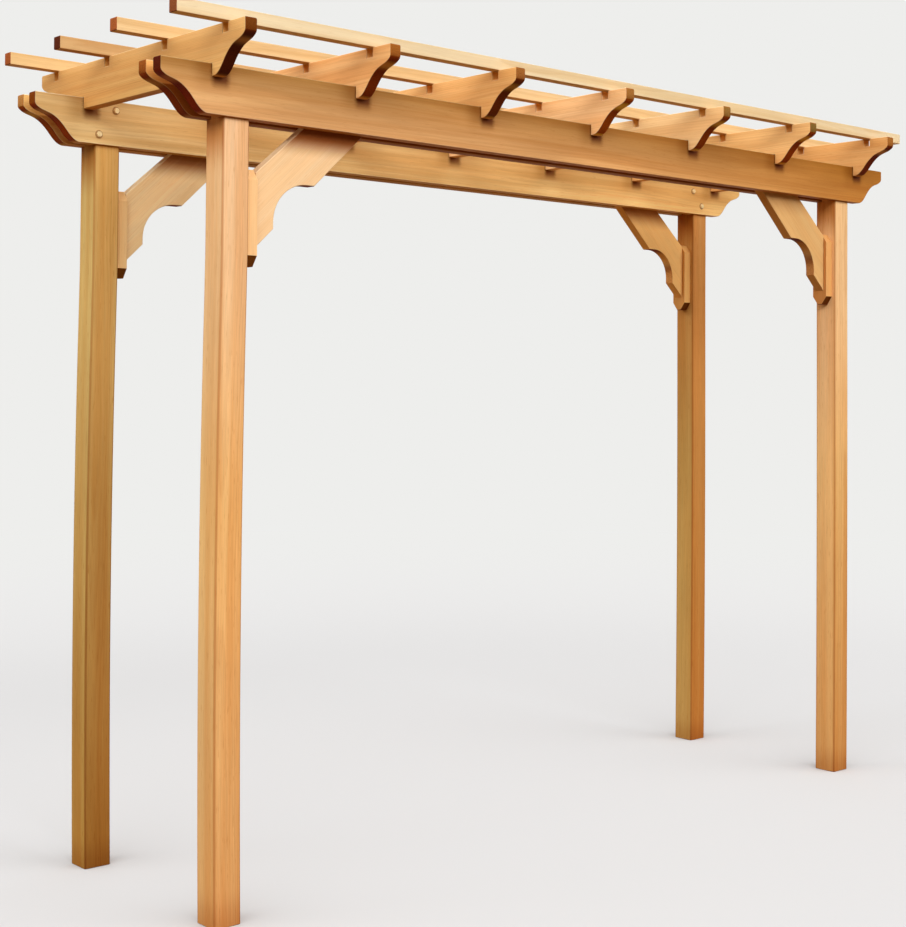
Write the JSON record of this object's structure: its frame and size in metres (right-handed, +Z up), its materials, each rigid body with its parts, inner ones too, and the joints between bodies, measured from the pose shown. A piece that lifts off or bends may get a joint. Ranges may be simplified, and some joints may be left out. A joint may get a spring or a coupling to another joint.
{
  "type": "wooden pergola",
  "caption": "Free-standing open cedar pergola, long and narrow: square posts, double beams on knee braces, shaped rafter tails and slats laid along the top.",
  "frame": {"origin": "middle of the footprint, at ground level under the post feet", "axes": "+X along the beams and slats, +Y across them along the rafters, +Z up"},
  "size_m": [3.37, 1.168, 2.525],
  "materials": {
    "post_wood": "satin",
    "beam_wood": "satin",
    "brace_wood": "satin",
    "rafter_wood": "satin",
    "slat_wood": "satin",
    "bolt_steel": "satin"
  },
  "bodies": {
    "root": {"post_near_left": "post_wood", "post_near_right": "post_wood", "post_far_left": "post_wood", "post_far_right": "post_wood", "beam_near_front": "beam_wood", "beam_near_back": "beam_wood", "beam_far_front": "beam_wood", "beam_far_back": "beam_wood", "cleat_near_left": "brace_wood", "cleat_near_right": "brace_wood", "cleat_far_left": "brace_wood", "cleat_far_right": "brace_wood", "brace_near_left": "brace_wood", "brace_near_right": "brace_wood", "brace_far_left": "brace_wood", "brace_far_right": "brace_wood", "rafter_1": "rafter_wood", "rafter_2": "rafter_wood", "rafter_3": "rafter_wood", "rafter_4": "rafter_wood", "rafter_5": "rafter_wood", "rafter_6": "rafter_wood", "rafter_7": "rafter_wood", "slat_1": "slat_wood", "slat_2": "slat_wood", "slat_3": "slat_wood", "slat_4": "slat_wood", "bolts_near_left": "bolt_steel", "bolts_near_right": "bolt_steel", "bolts_far_left": "bolt_steel", "bolts_far_right": "bolt_steel"}
  },
  "joints": []
}
